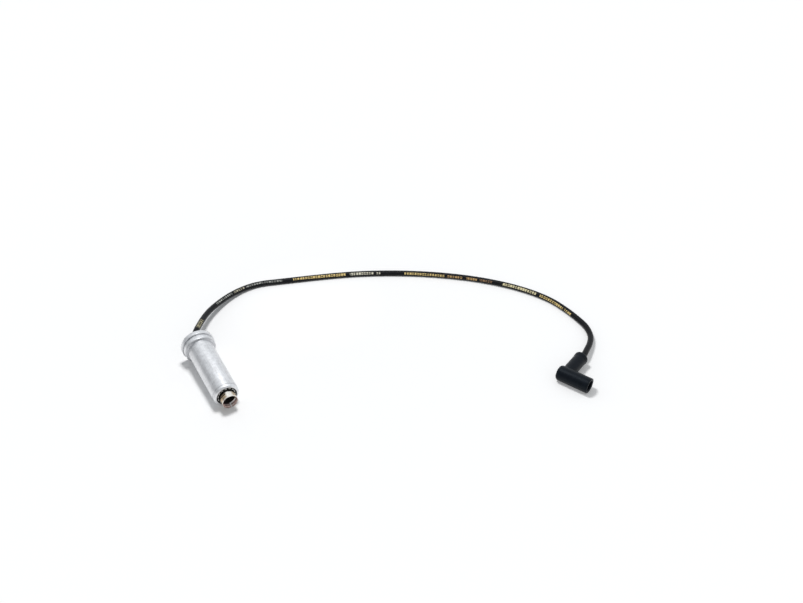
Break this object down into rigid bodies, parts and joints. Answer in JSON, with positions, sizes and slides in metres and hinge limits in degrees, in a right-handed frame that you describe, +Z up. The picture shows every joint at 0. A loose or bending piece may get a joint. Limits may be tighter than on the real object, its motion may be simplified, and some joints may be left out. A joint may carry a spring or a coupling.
{
  "type": "spark plug wire",
  "caption": "Ignition lead: metal-shielded straight plug connector, black cable and a right-angle rubber coil boot.",
  "frame": {"origin": "centre of the base of the box round the two connectors, on the surface that the lead lies on", "axes": "+X across from the plug connector towards the coil connector, -Y the way the plug connector points, +Z up"},
  "size_m": [0.4488, 0.3807, 0.0388],
  "materials": {
    "shell_aluminium": "satin drawn aluminium with fine lines round the tube",
    "nickel_sleeve": "bright nickel plate over a copper alloy, warmer inside",
    "brass_contacts": "bright stamped and turned brass",
    "spring_steel": "bright drawn wire",
    "boot_rubber": "satin moulded black rubber",
    "cable_jacket": "satin black jacket with plain gold and white ink marks",
    "seal_silicone": "matte dark silicone",
    "moulded_insulator": "dark moulded phenolic",
    "resistor_ceramic": "unglazed white ceramic"
  },
  "bodies": {
    "root": {"shield_shell": "shell_aluminium", "rear_cap": "shell_aluminium", "sleeve_retainer": "shell_aluminium", "cable_seal": "boot_rubber", "coil_boot": "boot_rubber", "ignition_cable": "cable_jacket", "cable_ferrule": "brass_contacts", "resistor_cap_rear": "brass_contacts", "resistor_cap_front": "brass_contacts", "plug_terminal": "brass_contacts", "coil_terminal": "brass_contacts", "contact_spring": "spring_steel", "terminal_ring": "spring_steel", "coil_terminal_ring": "spring_steel", "contact_sleeve": "nickel_sleeve", "resistor_core": "resistor_ceramic", "insulator_body": "moulded_insulator", "plug_seal": "seal_silicone"}
  },
  "joints": []
}
